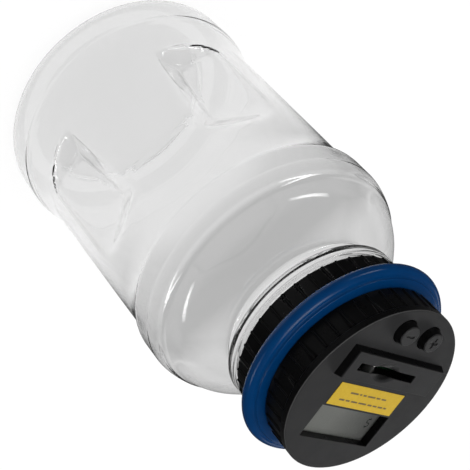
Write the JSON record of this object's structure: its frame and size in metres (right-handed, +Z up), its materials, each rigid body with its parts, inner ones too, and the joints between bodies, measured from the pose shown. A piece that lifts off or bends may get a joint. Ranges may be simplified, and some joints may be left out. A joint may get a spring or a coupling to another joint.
{
  "type": "electronic coin bank",
  "caption": "Clear screw-top coin jar with pinch grips and a black counting lid: coin slot with sensing lever, display, plus and minus buttons and a blue trim ring.",
  "frame": {"origin": "middle of the jar's foot, on the surface it stands on", "axes": "+Z up along the jar, -Y through the middle of the panel between the two pinch grips"},
  "size_m": [0.11, 0.11, 0.1981],
  "materials": {
    "jar_clear": "clear, glossy",
    "gasket_white": "soft white",
    "lid_black": "satin black",
    "head_black": "satin black",
    "insert_black": "satin black",
    "button_black": "gloss black",
    "trim_blue": "gloss blue",
    "pad_rubber": "grey silicone",
    "window_clear": "clear",
    "display": "grey reflective display",
    "strip": "layered elastomer",
    "label_yellow": "coated yellow",
    "board_green": "green solder mask",
    "resin": "black resin",
    "component_metal": "bare can",
    "lever_plastic": "natural plastic",
    "contact_metal": "spring brass",
    "pin_steel": "ground",
    "spring_steel": "drawn wire",
    "cell_wrap": "gloss wrap",
    "screw_steel": "zinc plated"
  },
  "bodies": {
    "jar": {"jar": "jar_clear", "jar_neck": "jar_clear"},
    "gasket": {"gasket": "gasket_white"},
    "lid": {"lid_base": "lid_black", "trim_ring": "trim_blue", "head_shell": "head_black", "slot_insert": "insert_black", "plus_pad": "pad_rubber", "minus_pad": "pad_rubber", "lcd_window": "window_clear", "lcd_panel": "display", "lcd_connectors": "strip", "label": "label_yellow", "circuit_board": "board_green", "controller_blob": "resin", "board_components": "component_metal", "lever_pin": "pin_steel", "lever_spring": "spring_steel", "battery_1": "cell_wrap", "battery_2": "cell_wrap", "battery_springs": "spring_steel", "contact_plates": "contact_metal", "base_screws": "screw_steel", "board_screws": "screw_steel"},
    "plus_button": {"plus_button": "button_black"},
    "minus_button": {"minus_button": "button_black"},
    "coin_lever": {"coin_lever": "lever_plastic", "wiper_contact": "contact_metal"},
    "battery_cover": {"battery_cover": "lid_black", "cover_screw": "screw_steel"}
  },
  "joints": [
    {"name": "lid_rise", "type": "slide", "parent": "jar", "child": "gasket", "axis": [0, 0, 1], "range_m": [0, 0.00367]},
    {"name": "lid_turn", "type": "hinge", "parent": "gasket", "child": "lid", "pos_m": [0, 0, 0.172], "axis": [0, 0, 1], "range_deg": [0, 332]},
    {"name": "plus_press", "type": "slide", "parent": "lid", "child": "plus_button", "axis": [0, 0, -1], "range_m": [0, 0.0012], "stiffness_N_per_m": 900, "springref_m": -0.0004, "deforming": ["plus_pad"]},
    {"name": "minus_press", "type": "slide", "parent": "lid", "child": "minus_button", "axis": [0, 0, -1], "range_m": [0, 0.0012], "stiffness_N_per_m": 900, "springref_m": -0.0004, "deforming": ["minus_pad"]},
    {"name": "lever_swing", "type": "hinge", "parent": "lid", "child": "coin_lever", "pos_m": [0.00467, -0.00391, 0.1905], "axis": [0, 0, -1], "range_deg": [0, 48], "stiffness_Nm_per_rad": 0.002, "springref_deg": -20.05, "deforming": ["lever_spring"]},
    {"name": "cover_off", "type": "slide", "parent": "lid", "child": "battery_cover", "axis": [0, 0, -1], "range_m": [0, 0.02]}
  ],
  "couplings": [
    {"joint": "lid_turn", "follows": "lid_rise", "rad_per_m": 1570.8}
  ]
}
